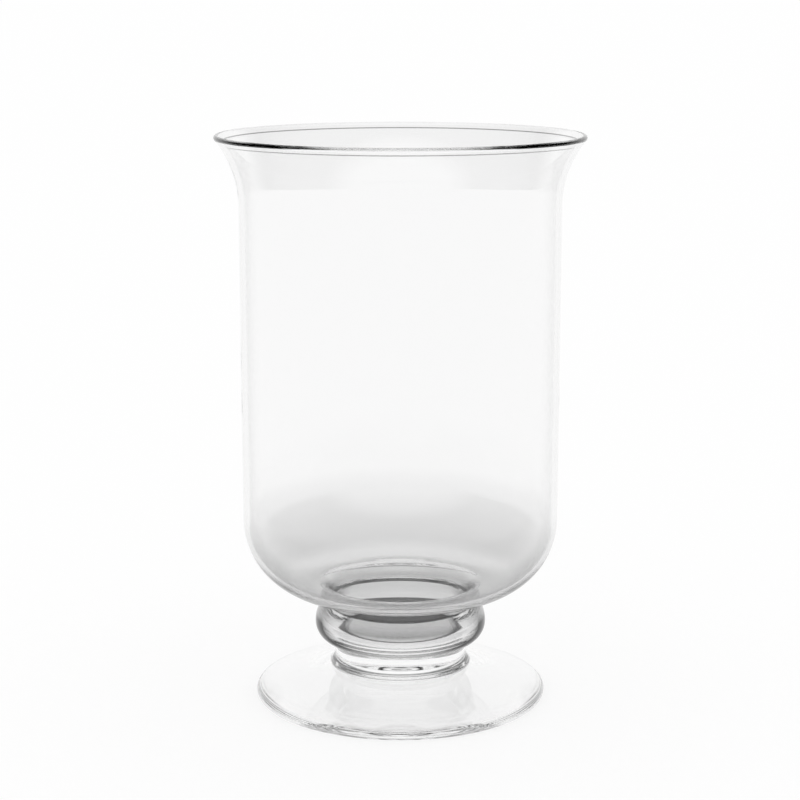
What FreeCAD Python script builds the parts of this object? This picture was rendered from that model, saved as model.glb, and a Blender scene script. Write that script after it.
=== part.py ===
import FreeCAD
import Part
import math
import os

# Clear glass hurricane for a candle: bowl, knop, collar and foot, hot-joined face to face.
# Millimetres. Z is the axis of the glass, and z = 0 is the surface that the foot stands on.

# Whole object
HEIGHT = 300.0

# Foot
FOOT_RADIUS = 77.6
FOOT_EDGE = 5.2
FOOT_HEIGHT = 16.5
FOOT_HOLLOW = 11.0
STANDING_RING_WIDTH = 4.0
UNDERSIDE_CURVE = 40.0

# Collar: a wafer of glass with a rounded lip, and a cove up to the neck
NECK_RADIUS = 34.7
COLLAR_OVERHANG = 2.9
COLLAR_ROUND = 1.2
COLLAR_COVE = 4.06

# Knop: a thick bulb round the well for the candle, on a short neck
KNOP_RADIUS = 45.7
KNOP_UPPER_CURVE = 18.0
KNOP_LOWER_CURVE = 10.0
NECK_LENGTH = 7.6
WAIST_INSET = 4.2
WAIST_WALL = 4.0
KNOP_WAIST_LENGTH = 0.6
WELL_FLOOR = 13.6
WELL_CORNER = 6.0

# Bowl
BOWL_RADIUS = 83.5
BOWL_WALL = 3.0
BOWL_WAIST_LENGTH = 2.0
BOWL_CORNER = 40.0
WAIST_FILLET = 3.0
INNER_CORNER = 35.0
THROAT_LIP = 7.0
FLARE_RADIUS = 55.0
FLARE_WIDTH = 12.3

# Points of a section closer than this are the same point
SAME_POINT = 1e-6


def point(radius, height):
    return FreeCAD.Vector(radius, 0, height)


def on_circle(centre, radius, angle):
    """The point of a circle in the section plane at an angle in radians from the outward direction."""
    return centre + point(radius * math.cos(angle), radius * math.sin(angle))


def arc(centre, radius, start, end):
    """An arc of the section from one angle to the other, in radians."""
    angles = (start, (start + end) / 2, end)
    return Part.Arc(*[on_circle(centre, radius, angle) for angle in angles])


def direction(start, end):
    """The angle, in radians, of the way from one section point to another."""
    return math.atan2(end.z - start.z, end.x - start.x)


def leg(hypotenuse, other_leg):
    return math.sqrt(hypotenuse ** 2 - other_leg ** 2)


def revolve(*curves):
    """Turn a section about the axis. Straight lines close the gaps between the curves, in order."""
    edges = []
    for curve, following in zip(curves, curves[1:] + curves[:1]):
        edges.append(curve.toShape())
        if curve.EndPoint.distanceToPoint(following.StartPoint) > SAME_POINT:
            edges.append(Part.LineSegment(curve.EndPoint, following.StartPoint).toShape())
    section = Part.Face(Part.Wire(edges))
    return section.revolve(FreeCAD.Vector(0, 0, 0), FreeCAD.Vector(0, 0, 1), 360)


# Heights of the joints between the pieces, and the radii that two pieces share

COLLAR_RADIUS = NECK_RADIUS + COLLAR_OVERHANG
COLLAR_SEAT_RADIUS = COLLAR_RADIUS - COLLAR_ROUND
WAIST_RADIUS = KNOP_RADIUS - WAIST_INSET
THROAT_RADIUS = WAIST_RADIUS - WAIST_WALL

COLLAR_CURVES = COLLAR_ROUND + COLLAR_COVE
COLLAR_TOP = FOOT_HEIGHT + COLLAR_ROUND + leg(COLLAR_CURVES, COLLAR_CURVES - COLLAR_OVERHANG)

LOWER_CENTRE_RADIUS = KNOP_RADIUS - KNOP_LOWER_CURVE
UPPER_CENTRE_RADIUS = KNOP_RADIUS - KNOP_UPPER_CURVE
KNOP_MIDDLE = COLLAR_TOP + NECK_LENGTH + leg(KNOP_LOWER_CURVE, NECK_RADIUS - LOWER_CENTRE_RADIUS)
BULGE_TOP = KNOP_MIDDLE + leg(KNOP_UPPER_CURVE, WAIST_RADIUS - UPPER_CENTRE_RADIUS)
KNOP_TOP = BULGE_TOP + KNOP_WAIST_LENGTH


def make_foot():
    edge_radius = FOOT_EDGE / 2
    edge_centre = point(FOOT_RADIUS - edge_radius, edge_radius)
    crown_edge = point(COLLAR_SEAT_RADIUS, FOOT_HEIGHT)
    # The conical top runs from the crown to where it touches the rounded edge
    reach = edge_centre.distanceToPoint(crown_edge)
    touch = direction(edge_centre, crown_edge) - math.acos(edge_radius / reach)
    edge = arc(edge_centre, edge_radius, -math.pi / 2, touch)
    crown = Part.LineSegment(crown_edge, point(0, FOOT_HEIGHT))
    # Underneath, a cone as steep as the top rises from the standing ring and rounds off into a flat
    slope = math.pi / 2 - touch
    ring = Part.LineSegment(point(edge_centre.x - STANDING_RING_WIDTH, 0), point(edge_centre.x, 0))
    curve_rise = UNDERSIDE_CURVE * (1 - math.cos(slope))
    curve_foot = ring.StartPoint.x - (FOOT_HOLLOW - curve_rise) / math.tan(slope)
    curve_centre = point(curve_foot - UNDERSIDE_CURVE * math.sin(slope), FOOT_HOLLOW - UNDERSIDE_CURVE)
    flat = Part.LineSegment(point(0, FOOT_HOLLOW), point(curve_centre.x, FOOT_HOLLOW))
    curve = arc(curve_centre, UNDERSIDE_CURVE, math.pi / 2, touch)
    return revolve(edge, crown, flat, curve, ring)


def make_collar():
    lip_centre = point(COLLAR_SEAT_RADIUS, FOOT_HEIGHT + COLLAR_ROUND)
    cove_centre = point(NECK_RADIUS + COLLAR_COVE, COLLAR_TOP)
    meeting = direction(lip_centre, cove_centre)
    lip = arc(lip_centre, COLLAR_ROUND, -math.pi / 2, meeting)
    cove = arc(cove_centre, COLLAR_COVE, meeting - math.pi, -math.pi)
    top = Part.LineSegment(point(NECK_RADIUS, COLLAR_TOP), point(0, COLLAR_TOP))
    bottom = Part.LineSegment(point(0, FOOT_HEIGHT), point(COLLAR_SEAT_RADIUS, FOOT_HEIGHT))
    return revolve(lip, cove, top, bottom)


def make_knop():
    lower_centre = point(LOWER_CENTRE_RADIUS, KNOP_MIDDLE)
    upper_centre = point(UPPER_CENTRE_RADIUS, KNOP_MIDDLE)
    neck_top = point(NECK_RADIUS, COLLAR_TOP + NECK_LENGTH)
    bulge_top = point(WAIST_RADIUS, BULGE_TOP)
    lower_bulge = arc(lower_centre, KNOP_LOWER_CURVE, direction(lower_centre, neck_top), 0)
    upper_bulge = arc(upper_centre, KNOP_UPPER_CURVE, 0, direction(upper_centre, bulge_top))
    mouth = Part.LineSegment(point(WAIST_RADIUS, KNOP_TOP), point(THROAT_RADIUS, KNOP_TOP))
    # The well goes straight down from the throat and rounds off into a flat floor
    corner_centre = point(THROAT_RADIUS - WELL_CORNER, COLLAR_TOP + WELL_FLOOR + WELL_CORNER)
    corner = arc(corner_centre, WELL_CORNER, 0, -math.pi / 2)
    floor = Part.LineSegment(corner.EndPoint, point(0, corner.EndPoint.z))
    bottom = Part.LineSegment(point(0, COLLAR_TOP), point(NECK_RADIUS, COLLAR_TOP))
    return revolve(lower_bulge, upper_bulge, mouth, corner, floor, bottom)


def make_bowl():
    curves_start = KNOP_TOP + BOWL_WAIST_LENGTH
    rim_radius = BOWL_WALL / 2
    # Outside: a fillet off the waist, the round bottom, the wall and the flare
    fillet_centre = point(WAIST_RADIUS + WAIST_FILLET, curves_start)
    corner_radius = BOWL_RADIUS - BOWL_CORNER
    corner_rise = leg(BOWL_CORNER + WAIST_FILLET, corner_radius - fillet_centre.x)
    corner_centre = point(corner_radius, curves_start + corner_rise)
    fillet_end = direction(fillet_centre, corner_centre)
    fillet = arc(fillet_centre, WAIST_FILLET, math.pi, fillet_end)
    corner = arc(corner_centre, BOWL_CORNER, fillet_end - math.pi, 0)
    # The rim's round lies midway between the two faces of the flare
    rim_centre_radius = BOWL_RADIUS + FLARE_WIDTH - rim_radius
    flare_centre_radius = BOWL_RADIUS + FLARE_RADIUS
    lean = math.acos((flare_centre_radius - rim_centre_radius) / (FLARE_RADIUS + rim_radius))
    rim_centre = point(rim_centre_radius, HEIGHT - rim_radius)
    flare_centre = on_circle(rim_centre, FLARE_RADIUS + rim_radius, -lean)
    flare = arc(flare_centre, FLARE_RADIUS, math.pi, math.pi - lean)
    rim = arc(rim_centre, rim_radius, -lean, math.pi - lean)
    inner_flare = arc(flare_centre, FLARE_RADIUS + BOWL_WALL, math.pi - lean, math.pi)
    # Inside: the round bottom runs over a rounded lip into the throat
    lip_centre = point(THROAT_RADIUS + THROAT_LIP, curves_start)
    inner_corner_radius = BOWL_RADIUS - BOWL_WALL - INNER_CORNER
    inner_rise = leg(INNER_CORNER + THROAT_LIP, inner_corner_radius - lip_centre.x)
    inner_corner_centre = point(inner_corner_radius, curves_start + inner_rise)
    lip_start = direction(lip_centre, inner_corner_centre)
    inner_corner = arc(inner_corner_centre, INNER_CORNER, 0, lip_start - math.pi)
    lip = arc(lip_centre, THROAT_LIP, lip_start, math.pi)
    joint = Part.LineSegment(point(THROAT_RADIUS, KNOP_TOP), point(WAIST_RADIUS, KNOP_TOP))
    return revolve(fillet, corner, flare, rim, inner_flare, inner_corner, lip, joint)


os.makedirs("parts", exist_ok=True)
pieces = {
    "bowl": make_bowl(),
    "knop": make_knop(),
    "collar": make_collar(),
    "foot": make_foot(),
}
for name, solid in pieces.items():
    solid.exportStep("parts/" + name + ".step")
    print(name, "volume", round(solid.Volume), "mm3, valid", solid.isValid())
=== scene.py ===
# %% [markdown]
# This lesson dresses a clear glass hurricane: a tall bowl for a candle, standing on a knop, a collar
# and a foot. The solids already exist in CAD, and they are loaded first as a fixed frame. Glass needs
# smooth surfaces to bend light well, so each solid is then replaced by a mesh turned in Blender
# from the same sizes.

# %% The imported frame
import math

import bmesh
import bpy
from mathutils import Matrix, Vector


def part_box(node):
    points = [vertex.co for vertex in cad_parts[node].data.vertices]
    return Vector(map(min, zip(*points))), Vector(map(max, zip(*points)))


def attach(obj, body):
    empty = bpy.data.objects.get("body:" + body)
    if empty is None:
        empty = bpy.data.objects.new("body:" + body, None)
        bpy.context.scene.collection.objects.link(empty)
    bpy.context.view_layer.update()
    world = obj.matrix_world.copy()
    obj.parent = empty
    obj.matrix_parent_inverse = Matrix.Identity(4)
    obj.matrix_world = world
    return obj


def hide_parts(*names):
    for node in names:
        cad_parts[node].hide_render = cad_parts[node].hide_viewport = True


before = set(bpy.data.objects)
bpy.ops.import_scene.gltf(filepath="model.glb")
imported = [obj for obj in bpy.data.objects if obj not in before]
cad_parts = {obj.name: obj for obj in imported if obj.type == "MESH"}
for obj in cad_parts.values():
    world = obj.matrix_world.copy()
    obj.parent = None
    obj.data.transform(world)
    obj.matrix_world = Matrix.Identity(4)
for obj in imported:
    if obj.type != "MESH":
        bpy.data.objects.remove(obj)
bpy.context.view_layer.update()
print("CAD nodes:", ", ".join(sorted(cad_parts)))

# %% [markdown]
# A glassblower turns every piece about one axis, and so does this script. A section could be a list
# of points that another program worked out, but it would say nothing about how the glass was shaped.
# Here one vertex is moved like a pen: extruding it draws a straight line, and spinning it about
# the centre of a circle draws an arc. Radii and heights are in millimetres, as in the CAD model.

# %% A pen that draws a section
MM = 0.001
ARC_EDGE = 0.7
ARC_TURN = math.radians(5)
FEWEST_ARC_STEPS = 3


def start_section(radius, height):
    section = bmesh.new()
    return section, section.verts.new((radius * MM, 0, height * MM))


def draw_line(section, pen, radius, height):
    """Extrude the pen's vertex to a new place and return the new vertex."""
    pen = bmesh.ops.extrude_vert_indiv(section, verts=[pen])["verts"][0]
    pen.co = (radius * MM, 0, height * MM)
    return pen


def draw_arc(section, pen, centre, angle):
    """Spin the pen's vertex about a centre, anticlockwise for a positive angle in radians."""
    radius = math.hypot(pen.co.x / MM - centre[0], pen.co.z / MM - centre[1])
    steps = math.ceil(max(abs(angle) * radius / ARC_EDGE, abs(angle) / ARC_TURN, FEWEST_ARC_STEPS))
    turned = bmesh.ops.spin(
        section, geom=[pen], cent=(centre[0] * MM, 0, centre[1] * MM), axis=(0, -1, 0),
        angle=angle, steps=steps, use_duplicate=False,
    )
    return next(v for v in turned["geom_last"] if isinstance(v, bmesh.types.BMVert))


def heading(start, end):
    """The angle of the way from one section point to another, in radians."""
    return math.atan2(end[1] - start[1], end[0] - start[0])


def leg(hypotenuse, other_leg):
    return math.sqrt(hypotenuse ** 2 - other_leg ** 2)


print("Arcs have an edge every", ARC_EDGE, "mm or", round(math.degrees(ARC_TURN)), "degrees")

# %% [markdown]
# A finished section is spun once round the Z axis. The spin merges its seam, the points on the axis
# are welded into poles, and then the faces are turned outwards. Where two pieces meet, the real glass
# has melted together and light goes straight on, so the flat faces at a joint are kept apart on
# a second material slot. They stay in the mesh, because a closed piece is sturdier to reuse.
# A third slot takes a narrow ring of painted shade in grey glass, on the pieces that show a thin dark
# line.

# %% Turning a section into a piece
TURN_STEPS = 192
WELD_DISTANCE = 0.001 * MM
JOINT_TOLERANCE = 0.01 * MM
SHARP_ANGLE = math.radians(40)
JOINT_SLOT = 1
SHADE_RING_SLOT = 2


def turn_piece(section, name, joints):
    """Spin a section into a closed piece. Joints are the heights of the fused faces, in millimetres."""
    bmesh.ops.spin(
        section, geom=section.verts[:] + section.edges[:], cent=(0, 0, 0), axis=(0, 0, 1),
        angle=2 * math.pi, steps=TURN_STEPS, use_merge=True, use_duplicate=False,
    )
    bmesh.ops.remove_doubles(section, verts=section.verts, dist=WELD_DISTANCE)
    bmesh.ops.recalc_face_normals(section, faces=section.faces)
    for face in section.faces:
        face.smooth = True
        for height in joints:
            if all(abs(v.co.z - height * MM) < JOINT_TOLERANCE for v in face.verts):
                face.material_index = JOINT_SLOT
    open_edges = sum(not edge.is_manifold for edge in section.edges)
    mesh = bpy.data.meshes.new(name)
    section.to_mesh(mesh)
    section.free()
    mesh.set_sharp_from_angle(angle=SHARP_ANGLE)
    piece = bpy.data.objects.new(name, mesh)
    bpy.context.scene.collection.objects.link(piece)
    print(name, "has", len(mesh.polygons), "faces and", open_edges, "open edges")
    return piece


def mark_shade_ring(piece, low, high, widest):
    """Put a narrow ring of faces, between two heights and inside a radius, on the slot for painted
    shade.
    """
    for face in piece.data.polygons:
        radius = math.hypot(face.center.x, face.center.y)
        if radius < widest * MM and low * MM < face.center.z < high * MM:
            face.material_index = SHADE_RING_SLOT


# %% [markdown]
# The foot is a wide disc. A real one is pressed from a hot gather with wooden jaws, which leaves
# a low cone on top, a hollow below and a fat rounded edge. The section starts on the axis, under the
# crown, and is drawn outwards along the underside, round the edge and back over the cone. The cone
# touches the round of the edge, so the angle of that arc is worked out from the two ends of the cone.

# %% Foot
FOOT_RADIUS = 77.6
FOOT_EDGE = 5.2
FOOT_HEIGHT = 16.5
FOOT_HOLLOW = 11.0
STANDING_RING_WIDTH = 4.0
UNDERSIDE_CURVE = 40.0
COLLAR_SEAT_RADIUS = 36.4

edge_round = FOOT_EDGE / 2
edge_centre = (FOOT_RADIUS - edge_round, edge_round)
crown_edge = (COLLAR_SEAT_RADIUS, FOOT_HEIGHT)
cone_reach = math.dist(edge_centre, crown_edge)
cone_normal = heading(edge_centre, crown_edge) - math.acos(edge_round / cone_reach)
cone_slope = math.pi / 2 - cone_normal
ring_radius = edge_centre[0] - STANDING_RING_WIDTH
curve_rise = UNDERSIDE_CURVE * (1 - math.cos(cone_slope))
flat_radius = (
    ring_radius - (FOOT_HOLLOW - curve_rise) / math.tan(cone_slope)
    - UNDERSIDE_CURVE * math.sin(cone_slope)
)

section, pen = start_section(0, FOOT_HOLLOW)
pen = draw_line(section, pen, flat_radius, FOOT_HOLLOW)
pen = draw_arc(section, pen, (flat_radius, FOOT_HOLLOW - UNDERSIDE_CURVE), -cone_slope)
pen = draw_line(section, pen, ring_radius, 0)
pen = draw_line(section, pen, edge_centre[0], 0)
pen = draw_arc(section, pen, edge_centre, math.pi / 2 + cone_normal)
pen = draw_line(section, pen, *crown_edge)
pen = draw_line(section, pen, 0, FOOT_HEIGHT)
foot = turn_piece(section, "foot_glass", [FOOT_HEIGHT])

# %% [markdown]
# The collar is a small wafer of glass that the stem stands on. Its lip is round, and a cove runs
# from the lip up to the neck. The lip and the cove are two arcs that touch each other,
# so one angle serves both of them.

# %% Collar
NECK_RADIUS = 34.7
COLLAR_OVERHANG = 2.9
COLLAR_ROUND = 1.2
COLLAR_COVE = 4.06

collar_arms = COLLAR_ROUND + COLLAR_COVE
COLLAR_TOP = FOOT_HEIGHT + COLLAR_ROUND + leg(collar_arms, collar_arms - COLLAR_OVERHANG)
lip_centre = (COLLAR_SEAT_RADIUS, FOOT_HEIGHT + COLLAR_ROUND)
cove_centre = (NECK_RADIUS + COLLAR_COVE, COLLAR_TOP)
lip_turn = heading(lip_centre, cove_centre)

section, pen = start_section(0, FOOT_HEIGHT)
pen = draw_line(section, pen, COLLAR_SEAT_RADIUS, FOOT_HEIGHT)
pen = draw_arc(section, pen, lip_centre, math.pi / 2 + lip_turn)
pen = draw_arc(section, pen, cove_centre, -lip_turn)
pen = draw_line(section, pen, 0, COLLAR_TOP)
collar = turn_piece(section, "collar_glass", [FOOT_HEIGHT, COLLAR_TOP])

# %% [markdown]
# The knop is the thick bulb of the stem. The well that takes the candle's base goes down inside it,
# with a rounded corner and a flat floor. Its thick wall works as a lens, so its two outer curves, tight
# below and flatter above, decide where the dark lines fall. Just under the joint with the bowl a dark
# line of bent light runs round the throat, so a narrow ring of faces there is kept apart for painted
# shade, a dark grey glass.

# %% Knop
KNOP_RADIUS = 45.7
KNOP_UPPER_CURVE = 18.0
KNOP_LOWER_CURVE = 10.0
NECK_LENGTH = 7.6
WAIST_RADIUS = 41.5
KNOP_WAIST_LENGTH = 0.6
THROAT_RADIUS = 37.5
WELL_BASE = 13.6
WELL_CORNER = 6.0
THROAT_SHADE_DEPTH = 1.3
THROAT_SHADE_WIDTH = 2.2

lower_radius = KNOP_RADIUS - KNOP_LOWER_CURVE
upper_radius = KNOP_RADIUS - KNOP_UPPER_CURVE
neck_top = (NECK_RADIUS, COLLAR_TOP + NECK_LENGTH)
knop_middle = neck_top[1] + leg(KNOP_LOWER_CURVE, NECK_RADIUS - lower_radius)
bulge_top = knop_middle + leg(KNOP_UPPER_CURVE, WAIST_RADIUS - upper_radius)
KNOP_TOP = bulge_top + KNOP_WAIST_LENGTH
well_floor = COLLAR_TOP + WELL_BASE
throat_shade_top = KNOP_TOP - THROAT_SHADE_DEPTH
throat_shade_bottom = throat_shade_top - THROAT_SHADE_WIDTH

section, pen = start_section(0, COLLAR_TOP)
pen = draw_line(section, pen, NECK_RADIUS, COLLAR_TOP)
pen = draw_line(section, pen, *neck_top)
lower_turn = -heading((lower_radius, knop_middle), neck_top)
pen = draw_arc(section, pen, (lower_radius, knop_middle), lower_turn)
upper_turn = heading((upper_radius, knop_middle), (WAIST_RADIUS, bulge_top))
pen = draw_arc(section, pen, (upper_radius, knop_middle), upper_turn)
pen = draw_line(section, pen, WAIST_RADIUS, KNOP_TOP)
pen = draw_line(section, pen, THROAT_RADIUS, KNOP_TOP)
pen = draw_line(section, pen, THROAT_RADIUS, throat_shade_top)
pen = draw_line(section, pen, THROAT_RADIUS, throat_shade_bottom)
pen = draw_line(section, pen, THROAT_RADIUS, well_floor + WELL_CORNER)
corner_centre = (THROAT_RADIUS - WELL_CORNER, well_floor + WELL_CORNER)
pen = draw_arc(section, pen, corner_centre, -math.pi / 2)
pen = draw_line(section, pen, 0, well_floor)
knop = turn_piece(section, "knop_glass", [COLLAR_TOP, KNOP_TOP])
# A ring of painted shade round the throat wall, just under the joint
mark_shade_ring(knop, throat_shade_bottom, throat_shade_top, (THROAT_RADIUS + WAIST_RADIUS) / 2)

# %% [markdown]
# The bowl is the blown piece. Its wall is about 3 mm thick, flares at the top into a fire-polished
# rim, and thickens a little at the round bottom, where a soft lip runs over into the throat.
# The edge of the polished rim shows as a thin dark line, so its inside has a ring of painted shade, a
# grey glass like the throat's. The section is a closed loop, so its last edge goes back to its first
# vertex.

# %% Bowl
HEIGHT = 300.0
BOWL_RADIUS = 83.5
BOWL_WALL = 3.0
BOWL_WAIST_LENGTH = 2.0
BOWL_CORNER = 40.0
WAIST_FILLET = 3.0
INNER_CORNER = 35.0
THROAT_LIP = 7.0
FLARE_RADIUS = 55.0
FLARE_WIDTH = 12.3
RIM_SHADE_DEPTH = 2.6
RIM_SHADE_WIDTH = 0.5

curves_start = KNOP_TOP + BOWL_WAIST_LENGTH
fillet_centre = (WAIST_RADIUS + WAIST_FILLET, curves_start)
corner_radius = BOWL_RADIUS - BOWL_CORNER
corner_rise = leg(BOWL_CORNER + WAIST_FILLET, corner_radius - fillet_centre[0])
corner_centre = (corner_radius, curves_start + corner_rise)
fillet_end = heading(fillet_centre, corner_centre)

rim_round = BOWL_WALL / 2
rim_centre = (BOWL_RADIUS + FLARE_WIDTH - rim_round, HEIGHT - rim_round)
flare_arm = FLARE_RADIUS + rim_round
lean = math.acos((BOWL_RADIUS + FLARE_RADIUS - rim_centre[0]) / flare_arm)
flare_centre = (BOWL_RADIUS + FLARE_RADIUS, rim_centre[1] - flare_arm * math.sin(lean))

inner_radius = BOWL_RADIUS - BOWL_WALL - INNER_CORNER
throat_lip_centre = (THROAT_RADIUS + THROAT_LIP, curves_start)
inner_rise = leg(INNER_CORNER + THROAT_LIP, inner_radius - throat_lip_centre[0])
inner_centre = (inner_radius, curves_start + inner_rise)
lip_start = heading(throat_lip_centre, inner_centre)

section, pen = start_section(WAIST_RADIUS, KNOP_TOP)
first = pen
pen = draw_line(section, pen, WAIST_RADIUS, curves_start)
pen = draw_arc(section, pen, fillet_centre, fillet_end - math.pi)
pen = draw_arc(section, pen, corner_centre, math.pi - fillet_end)
pen = draw_line(section, pen, BOWL_RADIUS, flare_centre[1])
pen = draw_arc(section, pen, flare_centre, -lean)
pen = draw_arc(section, pen, rim_centre, math.pi)
pen = draw_arc(section, pen, flare_centre, lean)
pen = draw_line(section, pen, BOWL_RADIUS - BOWL_WALL, inner_centre[1])
pen = draw_arc(section, pen, inner_centre, lip_start - math.pi)
pen = draw_arc(section, pen, throat_lip_centre, math.pi - lip_start)
pen = draw_line(section, pen, THROAT_RADIUS, KNOP_TOP)
section.edges.new((pen, first))
bowl = turn_piece(section, "bowl_glass", [KNOP_TOP])
rim_shade_top = HEIGHT - RIM_SHADE_DEPTH
# A ring of painted shade inside the rim
mark_shade_ring(bowl, rim_shade_top - RIM_SHADE_WIDTH, rim_shade_top, rim_centre[0] - rim_round)

# %% [markdown]
# Each new piece takes the place of its CAD node. The object has no joints, so all four ride on the one
# body.

# %% Pieces in the frame
pieces = {"bowl": bowl, "knop": knop, "collar": collar, "foot": foot}
for node_name, piece in pieces.items():
    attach(piece, "root")
    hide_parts(node_name)
    low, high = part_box(node_name)
    print(node_name, "CAD height", round(low[2] / MM, 2), "to", round(high[2] / MM, 2), "mm")

# %% [markdown]
# A few helpers serve all the materials. Colours are written as sRGB hex values, as a designer
# would note them, and turned into the linear numbers that Blender's shaders work in.

# %% Helpers for materials
def linear(hex_colour):
    """An sRGB hex colour as linear RGBA."""
    channels = [int(hex_colour[i:i + 2], 16) / 255 for i in (1, 3, 5)]
    return (*[c / 12.92 if c <= 0.04045 else ((c + 0.055) / 1.055) ** 2.4 for c in channels], 1)


def add_node(tree, kind, inputs=None, **settings):
    """Add a node, set its properties, and fill its inputs with plain values or links from sockets."""
    node = tree.nodes.new(kind)
    for name, value in settings.items():
        setattr(node, name, value)
    for name, value in (inputs or {}).items():
        if isinstance(value, bpy.types.NodeSocket):
            tree.links.new(value, node.inputs[name])
        else:
            node.inputs[name].default_value = value
    return node


def new_tree(owner):
    owner.use_nodes = True
    owner.node_tree.nodes.clear()
    return owner.node_tree


def set_stops(ramp, stops):
    """Give a colour ramp its stops, each a position from 0 to 1 and a hex colour."""
    elements = ramp.color_ramp.elements
    elements.remove(elements[1])
    for position, _ in stops[1:]:
        elements.new(position)
    for element, (position, colour) in zip(elements, stops):
        element.position = position
        element.color = linear(colour)


print("A grey of #808080 is", round(linear("#808080")[0], 3), "in linear light")

# %% [markdown]
# The bowl and the knop take painted shade: a grey that changes with height, and a darker one where
# their faces turn away from the view, for the dark that bent light gathers low in the bowl and at the
# sides of the knop.
# The tints are plain greys, because the glass in the photograph has no cast of its own.

# %% Painted shade by height and slant
def add_slant(tree, low, high):
    """How far a face turns away from the view, from 0 at the low share to 1 at the high one."""
    turned = add_node(tree, "ShaderNodeLayerWeight", {"Blend": 0.5}).outputs["Facing"]
    slant = add_node(tree, "ShaderNodeMapRange", {"Value": turned, "From Min": low, "From Max": high})
    return slant.outputs["Result"]


def add_painted_shade_ramps(tree, place, height_shade_stops, edge_shade_stops, slant_range):
    """Painted shade: mix two ramps of hex colours by slant, the second for faces seen edge-on. Their
    stops are heights in millimetres.
    """
    height = add_node(tree, "ShaderNodeSeparateXYZ", {"Vector": place}).outputs["Z"]
    share = add_node(tree, "ShaderNodeMapRange", {"Value": height, "From Max": HEIGHT * MM})
    shade_by_height, edge = (
        add_node(tree, "ShaderNodeValToRGB", {"Fac": share.outputs["Result"]}) for _ in range(2))
    for ramp, stops in ((shade_by_height, height_shade_stops), (edge, edge_shade_stops)):
        set_stops(ramp, [(level / HEIGHT, colour) for level, colour in stops])
    painted_shade_tint = add_node(tree, "ShaderNodeMix", {
        "Factor": add_slant(tree, *slant_range),
        "A": shade_by_height.outputs["Color"], "B": edge.outputs["Color"]},
        data_type="RGBA", blend_type="MULTIPLY")
    return painted_shade_tint.outputs["Result"]


# %% [markdown]
# Soda-lime glass bends light with an IOR of about 1.52 and is fire-polished, so it has no roughness.
# What tells blown glass from a pressed pane is that its faces aren't quite true: slow waves from
# blowing on the bowl, and tighter rings from the jaws on the stem and the foot. Both are bumps
# that change the angle of the surface by a fraction of a degree, with a scale worked out
# from the waves' real length. A few seeds, bubbles smaller than a millimetre, sit in the wall.

# %% Glass
GLASS_IOR = 1.52
SEED_RADIUS = 0.35
SEED_DEPTH = 0.2
SEED_STRENGTH = 0.6
SHADOW_SLANT = (0.35, 0.85)
SHADOW_EDGE = "#606060"


def make_glass(name, wave, ring, wave_height, seed_spacing, colour=None, painted_shade_tint=None):
    """Glass of one hex colour or with painted shade by height and slant. Its waves and seeds are in
    millimetres.
    """
    material = bpy.data.materials.new(name)
    tree = new_tree(material)
    place = add_node(tree, "ShaderNodeTexCoord").outputs["Object"]
    body = add_painted_shade_ramps(tree, place, **painted_shade_tint) if painted_shade_tint else linear(colour)
    # Waves are longer round the glass than along its axis, so the pattern is stretched
    stretched = add_node(tree, "ShaderNodeMapping", {
        "Vector": place, "Scale": (1 / (wave * MM), 1 / (wave * MM), 1 / (ring * MM))})
    waves = add_node(tree, "ShaderNodeTexNoise", {
        "Vector": stretched.outputs["Vector"], "Scale": 1.0, "Detail": 1.0})
    rolled = add_node(tree, "ShaderNodeBump", {
        "Height": waves.outputs["Fac"], "Strength": 1.0, "Distance": wave_height * MM})
    cells = add_node(tree, "ShaderNodeTexVoronoi", {
        "Vector": place, "Scale": 1 / (seed_spacing * MM)}, feature="F1")
    seeds = add_node(tree, "ShaderNodeMapRange", {
        "Value": cells.outputs["Distance"], "From Min": 0.0, "From Max": SEED_RADIUS / seed_spacing,
        "To Min": 1.0, "To Max": 0.0})
    seeded = add_node(tree, "ShaderNodeBump", {
        "Height": seeds.outputs["Result"], "Strength": SEED_STRENGTH, "Distance": SEED_DEPTH * MM,
        "Normal": rolled.outputs["Normal"]})
    glass = add_node(tree, "ShaderNodeBsdfPrincipled", {
        "Base Color": body, "Roughness": 0.0, "IOR": GLASS_IOR,
        "Transmission Weight": 1.0, "Normal": seeded.outputs["Normal"]})
    # Light shines through glass, and a path tracer would lose most of it, so its rays go straight on
    path = add_node(tree, "ShaderNodeLightPath")
    light_ray = add_node(tree, "ShaderNodeMath", {
        0: path.outputs["Is Shadow Ray"], 1: path.outputs["Is Diffuse Ray"]}, operation="MAXIMUM")
    let_through = add_node(tree, "ShaderNodeMix", {
        "Factor": add_slant(tree, *SHADOW_SLANT), "A": linear("#FFFFFF"), "B": linear(SHADOW_EDGE)},
        data_type="RGBA")
    clear = add_node(tree, "ShaderNodeBsdfTransparent", {"Color": let_through.outputs["Result"]})
    shown = add_node(tree, "ShaderNodeMixShader", {
        0: light_ray.outputs[0], 1: glass.outputs["BSDF"], 2: clear.outputs["BSDF"]})
    add_node(tree, "ShaderNodeOutputMaterial", {"Surface": shown.outputs["Shader"]})
    return material


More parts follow.
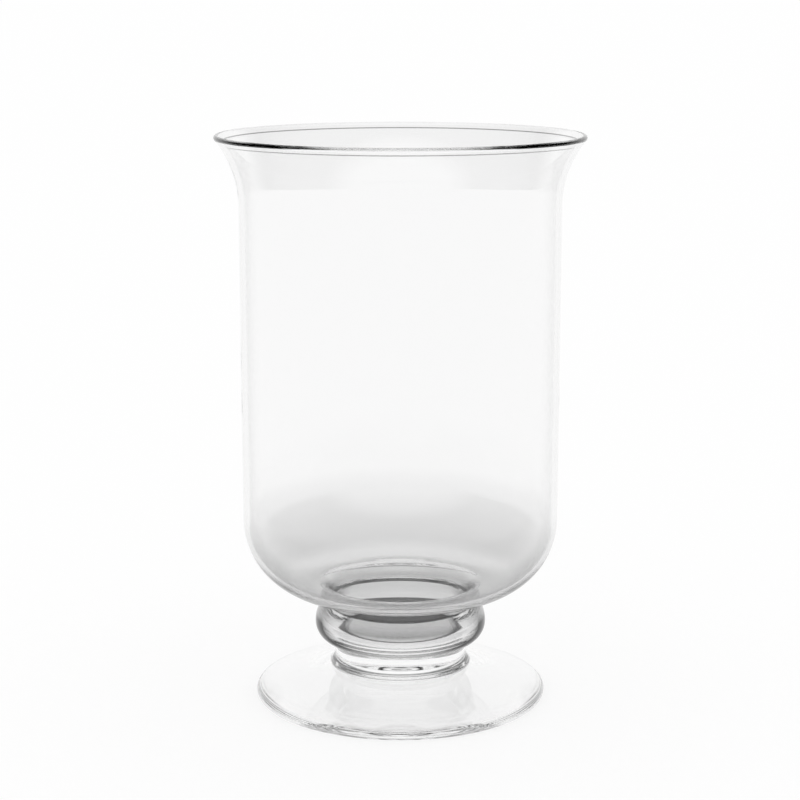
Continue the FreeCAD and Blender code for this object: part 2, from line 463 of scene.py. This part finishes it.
# The bowl and the knop take painted shade: greys by height, darker still where seen edge-on
blown_glass = make_glass(
    "blown_soda_lime_glass", wave=60.0, ring=45.0, wave_height=0.06, seed_spacing=90.0,
    painted_shade_tint={
        "height_shade_stops": [(54, "#C0C0C0"), (57, "#D8D8D8"), (61, "#F0F0F0"), (66, "#DCDCDC"),
                        (80, "#E6E6E6"), (105, "#FCFCFC")],
        "edge_shade_stops": [(54, "#000000"), (66, "#101010"), (80, "#C0C0C0"), (95, "#E4E4E4")],
        "slant_range": (0.6, 0.9)})
tooled = {"wave": 40.0, "ring": 6.0, "wave_height": 0.012, "seed_spacing": 60.0}
knop_glass = make_glass(
    "tooled_soda_lime_glass", **tooled,
    painted_shade_tint={
        "height_shade_stops": [(30, "#FDFDFD"), (38, "#E8E8E8"), (54, "#D0D0D0")],
        "edge_shade_stops": [(30, "#FFFFFF"), (33, "#000000"), (44, "#000000"), (48, "#A0A0A0")],
        "slant_range": (0.35, 0.6)})
foot_glass = make_glass("pressed_soda_lime_glass", **tooled, colour="#FDFDFD")
# Painted shade: dark grey glass for the thin dark lines round the throat and inside the rim
throat_shade_glass = make_glass("painted_shade_throat_line", **tooled, colour="#303030")
rim_shade_glass = make_glass("painted_shade_rim_line", **tooled, colour="#707070")
for glass in (blown_glass, knop_glass, foot_glass, throat_shade_glass, rim_shade_glass):
    print(glass.name, "has", len(glass.node_tree.nodes), "nodes")

# %% [markdown]
# At a joint there is no surface left in the real glass: the pieces were stuck while soft.
# The faces there are fully see-through and don't bend light.

# %% Fused joints
fused_joint = bpy.data.materials.new("fused_glass_joint")
tree = new_tree(fused_joint)
unseen = add_node(tree, "ShaderNodeBsdfPrincipled", {"Base Color": linear("#FFFFFF"), "Alpha": 0.0})
add_node(tree, "ShaderNodeOutputMaterial", {"Surface": unseen.outputs["BSDF"]})

glasses = {"bowl": blown_glass, "knop": knop_glass, "collar": foot_glass, "foot": foot_glass}
shade_rings = {"bowl": rim_shade_glass, "knop": throat_shade_glass}
for node_name, piece in pieces.items():
    piece.data.materials.append(glasses[node_name])
    piece.data.materials.append(fused_joint)
    if node_name in shade_rings:
        piece.data.materials.append(shade_rings[node_name])
    print(piece.name, "wears", piece.data.materials[0].name)

# %% [markdown]
# The glass stands on a white sweep. The floor is a very large plane, so that from the camera it
# reaches up past the top of the picture. Plain white paper would come out grey in the soft light,
# so most of what the camera and the glass see of it is a glow, and the rest keeps the shadow.

# %% Floor
FLOOR_SIZE = 120.0
FLOOR_DROP = 0.2 * MM
GLOW_SHARE = 0.8

sweep = bmesh.new()
bmesh.ops.create_grid(sweep, x_segments=1, y_segments=1, size=FLOOR_SIZE / 2)
bmesh.ops.translate(sweep, verts=sweep.verts, vec=(0, 0, -FLOOR_DROP))
floor_mesh = bpy.data.meshes.new("floor")
sweep.to_mesh(floor_mesh)
sweep.free()
floor = bpy.data.objects.new("floor", floor_mesh)
bpy.context.scene.collection.objects.link(floor)

white_sweep = bpy.data.materials.new("white_paper_sweep")
tree = new_tree(white_sweep)
paper = add_node(tree, "ShaderNodeBsdfDiffuse", {"Color": linear("#FFFFFF")})
glow = add_node(tree, "ShaderNodeEmission", {"Color": linear("#FFFFFF"), "Strength": 1.0})
path = add_node(tree, "ShaderNodeLightPath")
through_glass = add_node(tree, "ShaderNodeMath", {
    0: path.outputs["Is Glossy Ray"], 1: path.outputs["Is Transmission Ray"]}, operation="MAXIMUM")
shown = add_node(tree, "ShaderNodeMath", {
    0: path.outputs["Is Camera Ray"], 1: through_glass.outputs[0]}, operation="MAXIMUM")
glow_share = add_node(tree, "ShaderNodeMath", {
    0: shown.outputs[0], 1: GLOW_SHARE}, operation="MULTIPLY")
sweep_look = add_node(tree, "ShaderNodeMixShader", {
    0: glow_share.outputs[0], 1: paper.outputs["BSDF"], 2: glow.outputs["Emission"]})
add_node(tree, "ShaderNodeOutputMaterial", {"Surface": sweep_look.outputs["Shader"]})
floor_mesh.materials.append(white_sweep)
print("floor", FLOOR_SIZE, "m wide")

# %% [markdown]
# Clear glass is lit by what stands round it. In a white room it would vanish, so product
# photographers put it between bright fields and keep the sides of the studio dark: the dark
# then gathers in the outline, the rim and the stem. The world does the same here. For rays that
# the glass reflects or bends it is white within 37 degrees of straight ahead or straight back
# and dark past 60, and for the light on the floor it is even and plain.

# %% World
BRIGHT_FIELD = [(60, "#181818"), (37, "#FFFFFF")]

world = bpy.data.worlds.new("studio")
bpy.context.scene.world = world
tree = new_tree(world)
way = add_node(tree, "ShaderNodeTexCoord").outputs["Generated"]
depthwise = add_node(tree, "ShaderNodeSeparateXYZ", {"Vector": way}).outputs["Y"]
either_way = add_node(tree, "ShaderNodeMath", {0: depthwise}, operation="ABSOLUTE").outputs[0]
field_stops = [(math.cos(math.radians(angle)), colour) for angle, colour in BRIGHT_FIELD]
studio = add_node(tree, "ShaderNodeValToRGB", {"Fac": either_way})
set_stops(studio, field_stops)
path = add_node(tree, "ShaderNodeLightPath")
plain_ray = add_node(tree, "ShaderNodeMath", {
    0: path.outputs["Is Camera Ray"], 1: path.outputs["Is Diffuse Ray"]}, operation="MAXIMUM")
seen = add_node(tree, "ShaderNodeMix", {
    "Factor": plain_ray.outputs[0], "A": studio.outputs["Color"], "B": linear("#FFFFFF")},
    data_type="RGBA")
backdrop = add_node(tree, "ShaderNodeBackground", {"Color": seen.outputs["Result"], "Strength": 1.0})
add_node(tree, "ShaderNodeOutputWorld", {"Surface": backdrop.outputs["Background"]})
print("bright field within", BRIGHT_FIELD[-1][0], "degrees, dark past", BRIGHT_FIELD[0][0])

# %% [markdown]
# The photograph was taken from about a metre away, a little above the rim, with a long lens.
# The camera looks down by 11.65 degrees, and its lens is worked out from the focal length in pixels
# that fits the outline, for a picture 800 pixels wide.

# %% Camera
PICTURE_WIDTH = 800
SENSOR_WIDTH = 36
FOCAL_PIXELS = 1991.3
AXIS_OFFSET_PIXELS = 0.4
CAMERA_DISTANCE = 1.0286
CAMERA_HEIGHT = 0.3725
CAMERA_PITCH = 11.65

lens = bpy.data.cameras.new("camera")
lens.sensor_width = SENSOR_WIDTH
lens.lens = FOCAL_PIXELS * SENSOR_WIDTH / PICTURE_WIDTH
lens.shift_x = -AXIS_OFFSET_PIXELS / PICTURE_WIDTH
camera = bpy.data.objects.new("camera", lens)
camera.location = (0, -CAMERA_DISTANCE, CAMERA_HEIGHT)
camera.rotation_euler = (math.radians(90 - CAMERA_PITCH), 0, 0)
bpy.context.scene.collection.objects.link(camera)
bpy.context.scene.camera = camera
print("lens", round(lens.lens, 2), "mm")

# %% [markdown]
# Light crosses many faces in the stem, so the path tracer is allowed more bounces than usual.

# %% Bounces
GLASS_BOUNCES = 96
SEE_THROUGH_BOUNCES = 32

scene = bpy.context.scene
scene.view_settings.view_transform = "Standard"
scene.cycles.max_bounces = GLASS_BOUNCES
scene.cycles.transmission_bounces = GLASS_BOUNCES
scene.cycles.glossy_bounces = GLASS_BOUNCES
scene.cycles.transparent_max_bounces = SEE_THROUGH_BOUNCES
